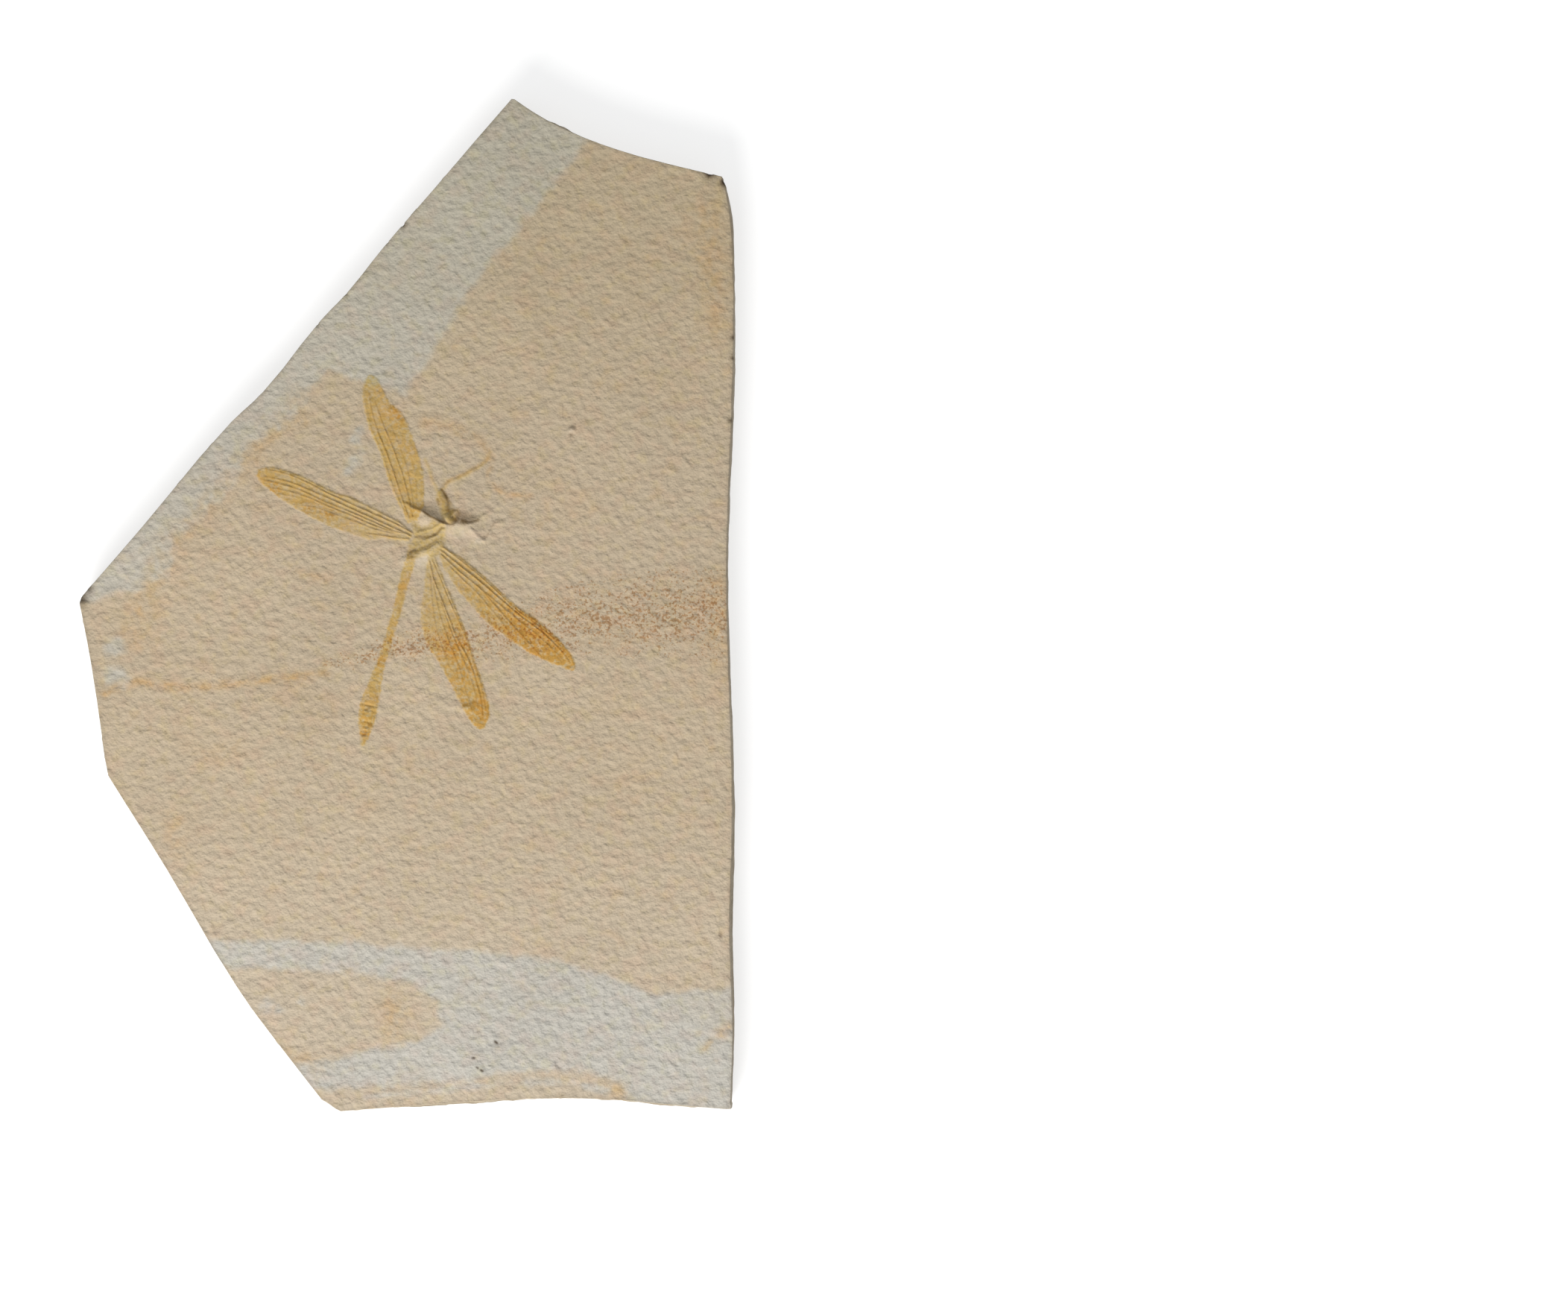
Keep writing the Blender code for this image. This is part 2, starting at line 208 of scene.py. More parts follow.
# The body stands on broad slopes: crest line, rises along it, reach of the left and right slopes.
SLOPES = {
    "shoulders": (
        [
            (-0.2, 21.8), (1.4, 20.6), (2.6, 20.1), (3.8, 19.6), (5.4, 18.8), (7.0, 17.8), (8.6, 17.1), (9.9, 17.1),
            (10.7, 17.4), (12.1, 17.3), (13.7, 17.3), (14.6, 17.7), (15.8, 18.3),
        ],
        (0.1, 0.35, 0.9, 1.05, 1.05, 0.8, 0.1), (2.5, 3.3),
    ),
    "bent_leg": (
        [(10.7, 17.3), (12.2, 17.0), (13.4, 16.5), (14.6, 15.2), (15.4, 14.4), (16.5, 13.8)],
        (0.85, 0.75, 0.6, 0.36, 0.16), (1.7, 1.6),
    ),
    "belly": ([(-0.2, 9.6), (1.4, 10.0), (3.0, 10.8), (5.0, 11.3), (6.6, 12.5)], (0.45, 0.75, 0.5), (3.2, 2.6)),
}

# Rounded forms of the body: place, half length, half width, rise, turn in degrees.
LUMPS = {
    "thorax": ((5.0, 14.2), 5.0, 3.0, 0.25, 42),
    "wing_base": ((3.8, 18.3), 1.5, 1.3, 0.45, 25),
    "abdomen_root": ((1.4, 10.9), 1.0, 0.8, 0.25, 30),
    "head_top": ((7.1, 24.1), 0.9, 0.75, 0.28, 20),
    "head": ((7.9, 22.3), 1.9, 0.95, 0.42, 108),
    "nape": ((8.7, 20.2), 1.2, 0.8, 0.3, 118),
    "neck": ((8.9, 18.5), 1.5, 0.9, 0.8, 130),
    "knob": ((10.2, 19.4), 0.85, 0.75, 0.42, 0),
    "fold_in_wing": ((10.2, -21.6), 5.4, 1.3, 0.26, -14),
    "blister": ((35.4, 37.4), 1.0, 0.85, 0.55, 0),
}

# Ridges: points, rise at both ends, and how far the slopes reach left and right of the way along.
RIDGES = {
    "root_fold": ([(-0.3, 21.7), (1.5, 20.7), (3.5, 19.9)], (0.2, 0.35), (0.35, 0.8)),
    "front_fold": ([(2.4, 15.4), (4.4, 15.9), (6.0, 16.4), (7.5, 17.4)], (0.3, 0.42), (0.5, 1.3)),
    "back_fold": ([(3.6, 13.7), (4.6, 14.0), (5.8, 14.4), (6.9, 15.1), (7.8, 16.1)], (0.35, 0.5), (0.4, 1.7)),
    "low_fold": ([(1.6, 11.3), (3.2, 11.4), (4.9, 12.0), (6.5, 13.1)], (0.2, 0.35), (0.4, 1.3)),
    "crossing": ([(1.6, 14.2), (3.0, 13.9), (4.0, 13.3)], (0.2, 0.12), (0.4, 0.9)),
    "leg_end": ([(16.2, 13.8), (17.0, 14.0), (17.8, 15.2), (18.3, 16.4), (19.0, 17.4), (21.0, 17.9)], (0.26, 0.18), (0.4, 0.5)),
    "right_foreleg": ([(15.4, 18.4), (16.9, 19.4), (18.6, 20.5), (20.1, 21.8), (22.3, 22.4)], (0.2, 0.1), (0.3, 0.5)),
    "upper_foreleg": ([(7.9, 25.0), (9.0, 26.3), (10.6, 27.0), (12.0, 27.6), (14.2, 28.9)], (0.16, 0.08), (0.3, 0.5)),
    "upper_foot": ([(14.2, 28.9), (16.4, 30.2), (17.8, 32.5)], (0.06, 0.03), (0.3, 0.3)),
    "far_leg": (
        [(18.2, 31.7), (17.5, 28.0), (18.5, 25.4), (19.8, 24.4), (23.0, 23.5), (26.0, 23.6)], (0.05, 0.04), (0.3, 0.4),
    ),
    "thin_leg": ([(3.9, 31.0), (4.9, 28.6), (5.5, 26.6), (6.4, 24.6)], (0.04, 0.07), (0.25, 0.25)),
}

# The stains of the stone, with painted highlights and shade among the marks round the body. Each grey field is its
# outline, and whether it adds or takes away grey.
GREY_FIELDS = [
    ([
        (48, 112), (37.8, 98.7), (25, 82.1), (16.2, 71.2), (6.5, 56.6), (-0.4, 44.8), (-8, 47), (-17.1, 51),
        (-24.9, 38.9), (-33.7, 34.1), (-38.6, 24.2), (-48.4, 15.5), (-52.0, 6.5), (-58.0, 3.4), (-66.0, 1.0),
        (-80, 1), (-80, 112),
    ], 1),
    ([
        (-60, -71), (-40.6, -71.8), (-17, -72.3), (-1.4, -73.4), (20.1, -74.9), (34.8, -76.8), (44.6, -80.2),
        (51.4, -83.2), (59.3, -83.2), (80, -81.0), (80, -120), (-60, -120),
    ], 1),
    ([
        (-60, -77), (-38.6, -77.8), (-23, -78.2), (-9.2, -79.2), (0.6, -81.1), (6.5, -85.1), (8.4, -90.1),
        (3.4, -93), (-9.2, -95.8), (-23, -98.4), (-60, -100),
    ], -1),
    ([
        (-17, -104.2), (0.6, -103.2), (15.3, -101.3), (27.9, -99.8), (39.8, -100.3), (46.6, -102.7), (47.1, -106.2),
        (44, -120), (-40, -120), (-34, -104.5),
    ], -1),
    ([
        (-9, -105.4), (7.2, -104.1), (21.4, -102.4), (35.5, -102.4), (43, -104.0), (43, -104.6), (35.5, -102.9),
        (21.4, -102.9), (7.2, -104.6), (-9, -105.8),
    ], 1),
]
GREY_SPOTS = [
    ((-10.4, 37.4), 0.7), ((-11.6, 35.2), 1.2), ((-10.0, 33.0), 0.8), ((-11.4, 31.0), 1.3), ((-12.6, 28.6), 0.7),
    ((-62.5, -9.0), 2.1), ((-62.5, -15.6), 2.4), ((-30.2, -85.8), 1.2), ((-27.4, -87.2), 0.9), ((-22.6, -85.4), 0.5),
]
# Streaks of rust: points, half widths at both ends, strength.
RUST_STREAKS = [
    ([(-65, -19), (-58.3, -16.5), (-48.4, -17.9), (-38.6, -17), (-23.9, -15.5), (-17, -14.6)], (1.1, 0.8), 0.7),
    ([(-32.1, 34.4), (-26.8, 38.4), (-22.3, 39.5)], (2.4, 1.6), 0.5),
    ([(4.1, 39.5), (8.0, 38.2), (11.4, 37.0)], (1.8, 1.2), 0.4),
    ([(12.0, 37.0), (14.8, 35.6), (17.0, 33.8), (18.2, 30.6), (17.4, 27.4), (19.0, 25.0)], (1.1, 0.6), 0.5),
    ([(19.0, 25.0), (21.4, 23.7), (26.5, 23.5)], (0.7, 0.5), 0.5),
    ([(-23, 45), (-30, 36.5), (-42, 23), (-51, 12.5), (-55, 4), (-58, -6)], (2.6, 4.0), 0.35),
    ([(64.5, 84), (65.5, 72), (66.5, 60)], (4.0, 3.4), 0.4),
    ([(-57.6, -1.0), (-58.4, -4.6)], (1.7, 1.3), 0.6),
    ([(63.7, -95.3), (66.0, -93.5), (68.8, -90.6)], (0.9, 1.3), 0.6),
    ([(-44.0, -33.0), (-36.0, -31.0)], (2.4, 2.4), 0.25),
    ([(-50.0, -46.0), (-49.0, -53.0)], (2.6, 2.2), 0.35),
    ([(-3.4, -86.5), (-3.4, -91.5)], (3.4, 2.8), 0.5),
    ([(-27.0, -96.5), (-18.0, -99.0)], (2.2, 2.0), 0.35),
    ([(44.0, -103.0), (47.0, -105.5)], (1.8, 1.6), 0.45),
    ([(7.9, 25.6), (9.0, 26.6), (10.6, 27.4), (12.0, 28.0), (14.2, 29.2), (17.4, 31.0)], (0.5, 0.4), 0.5),
    ([(66.8, 4.0), (67.2, -12.0)], (2.6, 2.6), 0.3),
    ([(-23.4, 6.4), (-17.0, 5.6)], (1.3, 0.9), 0.35),
]
# The band of rust specks: its middle line with half widths.
SPECK_BAND = [
    (-17.2, -12.7, 0.9), (-10.0, -11.2, 2.0), (0.6, -8.8, 2.8), (15.3, -7.6, 4.0), (30.0, -4.4, 6.0),
    (49.5, -2.0, 7.6), (72.0, -2.4, 8.6),
]
# Golden fields of the body: amount, outline.
GOLD_FIELDS = [
    (0.8, [
        (0.2, 12.6), (1.4, 14.6), (1.2, 16.4), (0.6, 18.4), (0.2, 20.6), (1.8, 20.6), (2.1, 17.8), (3.0, 16.6),
        (4.6, 16.8), (5.4, 18.4), (7.0, 17.8), (8.6, 17.4), (8.2, 15.6), (8.1, 13.0), (7.4, 11.4), (6.2, 9.9),
        (4.9, 9.5), (4.3, 10.6), (2.5, 10.1), (-0.2, 9.6),
    ]),
    (0.9, [
        (6.4, 24.4), (7.6, 25.0), (8.9, 22.4), (9.4, 20.6), (10.9, 20.2), (11.2, 19.0), (10.2, 17.5), (9.2, 17.2),
        (7.9, 17.6), (7.1, 20.2), (6.2, 22.6),
    ]),
]
# Legs that are golden, and the half width and amount of the gold.
GOLD_LEGS = ("upper_foreleg", "upper_foot", "thin_leg")
LEG_GOLD = (0.5, 0.6)
# Brown marks of the body, partly brown stain and partly painted shade on the shaded north sides of the crests, and
# dark pits of the stone: points, half width, strength.
BROWN_AND_SHADE_MARKS = [
    ([(0.4, 10.6), (0.9, 11.4), (1.7, 11.7), (2.5, 11.1)], 0.35, 0.5),
    ([(0.9, 10.9), (1.1, 10.2)], 0.7, 0.45),
    ([(2.9, 12.0), (4.7, 12.6), (6.4, 13.8)], 0.28, 0.4),
    ([(2.6, 14.7), (4.2, 14.4), (5.6, 14.8), (6.6, 15.5), (7.5, 16.5)], 0.26, 0.6),
    ([(2.2, 14.6), (3.1, 14.3)], 0.35, 0.5),
    ([(0.0, 21.9), (1.5, 20.7), (3.3, 20.1)], 0.3, 0.5),
    ([(3.6, 20.0), (5.4, 19.2), (7.0, 18.2)], 0.8, 0.25),
    ([(3.5, 20.0), (5.0, 18.9), (6.6, 18.2), (7.9, 17.6)], 0.28, 0.9),
    ([(7.0, 17.8), (8.6, 17.4), (10.0, 17.1), (10.5, 17.8)], 0.28, 0.6),
    ([(10.5, 18.2), (11.5, 18.0), (12.6, 17.8)], 0.6, 0.95),
    ([(12.6, 17.8), (13.6, 17.7), (15.2, 18.1)], 0.4, 0.7),
    ([(11.4, 19.1), (12.8, 18.9), (14.0, 18.5)], 1.1, 0.42),
    ([(3.8, 20.6), (5.2, 20.2), (6.0, 19.6)], 1.0, 0.3),
    ([(7.4, 24.7), (8.2, 23.6), (8.7, 22.6), (8.8, 21.3)], 0.38, 0.8),
    ([(7.2, 23.6), (7.6, 22.4), (8.0, 21.4)], 0.9, 0.3),
    ([(6.5, 22.6), (7.0, 21.3), (7.8, 20.3)], 0.3, 0.6),
    ([(8.5, 20.5), (9.1, 20.0)], 0.5, 0.9),
    ([(9.4, 19.4), (9.7, 18.7)], 0.36, 0.5),
    ([(9.4, 20.5), (10.4, 20.3), (11.2, 19.5), (11.0, 18.3), (10.3, 17.6)], 0.3, 0.75),
    ([(15.9, 14.6), (17.0, 14.6), (17.8, 16.0), (18.6, 17.4)], 0.2, 0.2),
    ([(-8.9, -22.6), (-8.0, -22.2)], 0.25, 0.6),
    ([(-8.2, -25.8), (-7.7, -25.8)], 0.3, 0.6),
    ([(-9.6, -28.1), (-8.9, -27.9)], 0.35, 0.7),
    ([(-16.2, 19.5), (-15.9, 19.3)], 0.4, 0.5),
    ([(12.3, -21.6), (14.6, -20.9)], 0.35, 0.45),
]
# Where the stone round the body is paler, and painted highlights on slopes that face the light, on the neck, the knob
# and the blister: points, half width, strength.
PALE_AND_HIGHLIGHT_MARKS = [
    ([(11.2, 16.2), (13.2, 15.0), (14.8, 13.8)], 1.3, 0.8),
    ([(9.4, 14.8), (11.0, 14.6)], 1.6, 0.5),
    ([(3.9, 10.3), (3.0, 9.0)], 1.4, 0.9),
    ([(8.6, 11.6), (10.0, 10.2)], 1.2, 0.5),
    ([(3.5, 17.9), (3.9, 18.1)], 1.1, 0.1),
    ([(8.0, 18.9), (8.7, 18.3)], 0.6, 0.7),
    ([(10.0, 19.4), (10.2, 19.3)], 0.6, 0.45),
    ([(35.1, 37.4), (35.3, 37.3)], 0.6, 0.8),
]
# Dark pits and specks of the stone; the first two are painted shade in the blister's pit and on its side away from the
# light.
DARK_AND_SHADE_MARKS = [
    ([(35.0, 36.5), (35.3, 36.4)], 0.32, 0.6),
    ([(34.9, 38.4), (35.9, 38.3)], 0.22, 0.15),
    ([(18.9, -93.8), (19.3, -94.1)], 0.32, 1.0),
    ([(14.1, -97.3), (14.4, -97.3)], 0.28, 0.9),
    ([(14.9, -99.3), (15.2, -99.5)], 0.24, 0.9),
    ([(15.8, -99.9), (16.2, -100.1)], 0.28, 1.0),
    ([(-51.9, -27.3), (-51.8, -27.4)], 0.3, 0.3),
    ([(67.3, -70.4), (67.3, -71.0)], 0.4, 0.4),
]

# Linear colours: the stone itself, and the tints that multiply it.
TAN = (0.50, 0.408, 0.290, 1)
GREY_TINT = (0.97, 1.10, 1.30, 1)
TOP_TINT = (0.955, 0.955, 0.91, 1)
FOOT_TINT = (1.0, 1.03, 1.09, 1)
PINK_TINT = (1.02, 0.965, 0.95, 1)
YELLOW_TINT = (1.01, 1.0, 0.91, 1)
RUST_TINT = (1.02, 0.82, 0.56, 1)
# Lightens the paler stone and the painted highlights.
PALE_AND_HIGHLIGHT_TINT = (1.10, 1.14, 1.22, 1)
SPECK_TINT = (0.66, 0.46, 0.30, 1)
GOLD_TINT = (0.99, 0.865, 0.465, 1)
ORANGE_TINT = (0.96, 0.75, 0.46, 1)
# Darkens the brown stain and the painted shade north of the body's crests.
BROWN_AND_SHADE_TINT = (0.34, 0.25, 0.12, 1)
# Darkens dark pits, specks and flaked chips, and the painted shade at the blister.
DARK_AND_SHADE_TINT = (0.12, 0.08, 0.05, 1)
VEIN_TINT = (0.78, 0.66, 0.45, 1)
WALL = (0.36, 0.31, 0.235, 1)
WALL_TINT = (0.70, 0.66, 0.60, 1)

# The light comes low from the lower left; the view is straight down on the split face.
LIGHT_WAY = (-0.31, -0.95)
LIGHT_HEIGHT = 33
LIGHT_DISTANCE = 1.0
LIGHT_SIZE = 0.6
CAMERA_OVER = (80.9, -9.1)
CAMERA_DISTANCE = 0.9
FIELD_WIDTH = 0.3366


def smooth_line(points, step=0.3):
    """Points a step apart, at most, along a smooth curve through the given ones."""
    given = np.array(points, dtype=float)
    padded = np.vstack([given[0], given, given[-1]])
    line = [given[0]]
    for before, a, b, after in zip(padded, padded[1:], padded[2:], padded[3:]):
        count = max(1, int(np.linalg.norm((b - a)[:2]) / step))
        for t in np.arange(1, count + 1) / count:
            line.append(
                (2 * t**3 - 3 * t**2 + 1) * a
                + (t**3 - 2 * t**2 + t) * (b - before) / 2
                + (3 * t**2 - 2 * t**3) * b
                + (t**3 - t**2) * (after - a) / 2
            )
    return np.array(line)


def follow(where, line):
    """For each place: its distance from a line, its share of the way along, and its side, +1 being left."""
    steps = np.diff(line[:, :2], axis=0)
    lengths = np.hypot(*steps.T)
    starts = np.concatenate([[0.0], np.cumsum(lengths)])
    nearest = np.full(len(where), np.inf)
    share = np.zeros(len(where))
    side = np.ones(len(where))
    for number, (start, step, length) in enumerate(zip(line[:-1, :2], steps, lengths)):
        if length < 1e-9:
            continue
        away = where - start
        t = np.clip(away @ step / length**2, 0, 1)
        off = away - t[:, None] * step
        distance = np.hypot(off[:, 0], off[:, 1])
        closer = distance < nearest
        nearest[closer] = distance[closer]
        share[closer] = (starts[number] + t[closer] * length) / starts[-1]
        cross = step[0] * away[:, 1] - step[1] * away[:, 0]
        side[closer] = np.where(cross[closer] >= 0, 1.0, -1.0)
    return nearest, share, side


def near(where, line, margin):
    """The numbers of the places that could lie within a margin of a line."""
    low = line[:, :2].min(axis=0) - margin
    high = line[:, :2].max(axis=0) + margin
    return np.nonzero(np.all((where >= low) & (where <= high), axis=1))[0]


def inside(where, outline):
    """Whether each place lies within a closed outline."""
    found = np.zeros(len(where), dtype=bool)
    x, y = where[:, 0], where[:, 1]
    for (ax, ay), (bx, by) in zip(outline, np.roll(outline, -1, axis=0)):
        if ay == by:
            continue
        crosses = (ay > y) != (by > y)
        found ^= crosses & (x < ax + (y - ay) * (bx - ax) / (by - ay))
    return found


def depth_in(where, outline, limit):
    """How deep each place lies within a closed outline: negative outside, and never past a limit."""
    found = np.full(len(where), -limit)
    close = near(where, outline, limit)
    closed = np.vstack([outline, outline[:1]])
    distance = follow(where[close], closed)[0]
    found[close] = np.clip(np.where(inside(where[close], outline), distance, -distance), -limit, limit)
    return found


def ease(value, low, high):
    """0 below low, 1 above high, and smooth between."""
    t = np.clip((value - low) / (high - low), 0, 1)
    return t * t * (3 - 2 * t)


def rough(where, size, seed, octaves=3):
    """Smooth noise of about -1 to 1, with lumps of a size."""
    shift = Vector((seed * 17.3, seed * 5.9, seed * 11.1))
    found = [noise.fractal(Vector((*place, 0.0)[:3]) / size + shift, 1.0, 2.0, octaves) for place in where]
    return np.array(found)


def wing_frame(wing):
    root = np.array(wing["root"])
    along = np.array(wing["tip"]) - root
    along = along / np.hypot(*along)
    across = np.array([-along[1], along[0]]) * wing["leading_side"]
    return root, along, across


def placed(wing, points):
    """Points of a wing's own frame as places on the plate."""
    root, along, across = wing_frame(wing)
    points = np.asarray(points, dtype=float)
    return root + points[:, :1] * along + points[:, 1:2] * across


def wing_outline(wing):
    leading = smooth_line(wing["leading"])
    trailing = smooth_line(wing["trailing"])
    return placed(wing, np.vstack([leading, trailing[::-1]]))


def fan_lines(wing):
    """The fine veins that curve from the middle of a wing to its trailing edge."""
    trailing = smooth_line(wing["trailing"])
    for start in FAN_STARTS:
        end = start + FAN_LENGTH
        edge = np.interp(end, trailing[:, 0], trailing[:, 1])
        top = -1.1 + 0.25 * math.sin(start)
        middle = (start + 0.55 * FAN_LENGTH, top + 0.35 * (edge - top))
        yield placed(wing, smooth_line([(start, top), middle, (end, edge + 0.25)]))


def packed_plate():
    """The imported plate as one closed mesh, and a tree for casting rays at it."""
    shape = bmesh.new()
    shape.from_mesh(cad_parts["fossil_slab"].data)
    bmesh.ops.remove_doubles(shape, verts=shape.verts, dist=0.001 * MM)
    return shape, BVHTree.FromBMesh(shape)


def face_height(tree):
    hit = tree.ray_cast(Vector((BARE_SPOT[0] * MM, BARE_SPOT[1] * MM, 1.0)), Vector((0, 0, -1)))[0]
    return hit.z / MM


def plan_of(shape):
    """The plate's outline at the plan level, anticlockwise from its lowest point."""
    cut = bmesh.ops.bisect_plane(
        shape,
        geom=shape.verts[:] + shape.edges[:] + shape.faces[:],
        plane_co=(0, 0, PLAN_LEVEL * MM),
        plane_no=(0, 0, 1),
    )
    edges = {item for item in cut["geom_cut"] if isinstance(item, bmesh.types.BMEdge)}
    loops = []
    while edges:
        edge = edges.pop()
        first, here = edge.verts
        loop = [first, here]
        while here is not first:
            edge = next(e for e in here.link_edges if e in edges)
            edges.remove(edge)
            here = edge.other_vert(here)
            loop.append(here)
        loops.append(loop)
    outline = np.array([vertex.co[:2] for vertex in max(loops, key=len)][:-1]) / MM
    x, y = outline.T
    area = np.sum(x * np.roll(y, -1) - y * np.roll(x, -1)) / 2
    outline = outline if area > 0 else outline[::-1]
    return np.roll(outline, -int(np.argmin(outline[:, 1])), axis=0)


def rim_points(outline):
    """Points round the outline, closer together at the flakes, with their outward directions."""
    closed = np.vstack([outline, outline[:1]])
    distance = np.concatenate([[0.0], np.cumsum(np.hypot(*np.diff(closed, axis=0).T))])
    fine = np.arange(0, distance[-1], 0.1)
    places = np.column_stack([np.interp(fine, distance, closed[:, axis]) for axis in (0, 1)])
    step = np.full(len(fine), WALL_STEP)
    for place, half_length, _, _ in FLAKES:
        step[np.hypot(*(places - place).T) < 1.8 * half_length] = FLAKE_STEP
    count = np.cumsum(0.1 / step)
    marks = np.interp(np.arange(int(count[-1])) + 0.5, count, fine)
    rim = np.column_stack([np.interp(marks, distance, closed[:, axis]) for axis in (0, 1)])
    tangent = np.roll(rim, -2, axis=0) - np.roll(rim, 2, axis=0)
    out = np.column_stack([tangent[:, 1], -tangent[:, 0]])
    return rim, out / np.hypot(*out.T)[:, None], marks


def wall_offsets(rim, out, levels, tree):
    """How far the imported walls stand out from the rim's outline, at each level."""
    offsets = np.zeros((len(levels), len(rim)))
    for row, level in enumerate(levels):
        height = min(max(level, 0.3), PLAN_LEVEL) * MM
        for column, (place, way) in enumerate(zip(rim, out)):
            start = Vector((*(place + REACH * way) * MM, height))
            hit = tree.ray_cast(start, Vector((*(-way), 0.0)), 2 * REACH * MM)[3]
            if hit is not None:
                offsets[row, column] = REACH - hit / MM
    return np.clip(offsets, -1.2, 1.2)


def lattice(low, high, spacing, random):
    """A triangular lattice of places, each moved a little."""
    rows = np.arange(low[1], high[1], spacing * math.sqrt(0.75))
    places = []
    for number, y in enumerate(rows):
        x = np.arange(low[0] + (number % 2) * spacing / 2, high[0], spacing)
        places.append(np.column_stack([x, np.full(len(x), y)]))
    places = np.vstack(places)
    return places + random.uniform(-0.18, 0.18, places.shape) * spacing


def thin_out(finer, places, gap):
    """The places that keep a gap from every finer one."""
    if not len(finer):
        return places
    tree = KDTree(len(finer))
    for number, place in enumerate(finer):
        tree.insert((*place, 0.0), number)
    tree.balance()
    return np.array([place for place in places if tree.find((*place, 0.0))[2] > gap])


def face_places(rim, random):
    """Where the split face has its points: along the wings, over the body, and evenly elsewhere."""
    places = []
    for wing in WINGS.values():
        tip_x = max(wing["leading"][-1][0], wing["trailing"][-1][0])
        leading = smooth_line(wing["leading"])
        trailing = smooth_line(wing["trailing"])
        xs = np.arange(-0.4, tip_x + 0.9, VEIN_SPACING[0])
        field = []
        for x in xs:
            high = np.interp(x, leading[:, 0], leading[:, 1]) + 0.5
            low = np.interp(x, trailing[:, 0], trailing[:, 1]) - 0.5
            count = max(2, int((high - low) / VEIN_SPACING[1]))
            field += [(x, low + (high - low) * n / count) for n in range(count + 1)]
        field = placed(wing, field)
        places.append(thin_out(np.vstack(places) if places else [], field, 0.13))
    finest = np.vstack(places)

    body = lattice((-1.5, 8.5), (20.5, 30.0), BODY_SPACING, random)
    lines = [smooth_line(points) for points, _, _ in RIDGES.values()]
    lines += [np.array([place, place]) for place, *_ in LUMPS.values()]
    reach = np.min([follow(body, line)[0] for line in lines], axis=0)
    body = thin_out(finest, body[reach < 2.4], 0.15)
    finest = np.vstack([finest, body])

    centre = smooth_line([place for place, _ in ABDOMEN])
    strip = lattice((-13, -31), (4, 12), BODY_SPACING, random)
    strip = strip[follow(strip, centre)[0] < 2.4]
    finest = np.vstack([finest, thin_out(finest, strip, 0.15)])

    spots = [((35.3, 37.0), 1.8), ((7.0, -20.8), 2.4), ((10.6, -21.8), 2.4), ((23.0, 22.6), 4.0)]
    spots += [(points[0], 0.9) for points, _, _ in DARK_AND_SHADE_MARKS]
    for place, reach in spots:
        spot = lattice(np.array(place) - reach, np.array(place) + reach, min(0.3, 0.25 * reach), random)
        spot = spot[np.hypot(*(spot - place).T) < reach]
        finest = np.vstack([finest, thin_out(finest, spot, 0.7 * min(0.3, 0.25 * reach))])

    for spacing, band in ((0.45, 1.0), (FACE_SPACING, None)):
        field = lattice(rim.min(axis=0), rim.max(axis=0), spacing, random)
        if band is not None:
            field = field[np.all((field > (-36, -34)) & (field < (40, 53)), axis=1)]
            tree = KDTree(len(finest))
            for number, place in enumerate(finest):
                tree.insert((*place, 0.0), number)
            tree.balance()
            field = np.array([place for place in field if tree.find((*place, 0.0))[2] < band])
        field = field[depth_in(field, rim, 2.0) > 0.55 * spacing]
        finest = np.vstack([finest, thin_out(finest, field, 0.55 * spacing)])
    return finest


def slope(distance, reach, rise):
    """A ridge's height away from its crest: a rounded crest where it is narrow, an even slope where wide."""
    rounded = np.exp(-((distance / np.minimum(reach, 0.6)) ** 2))
    even = np.clip(1 - distance / reach, 0, 1) ** 1.8
    return rise * np.where(reach > 1.2, even, rounded)


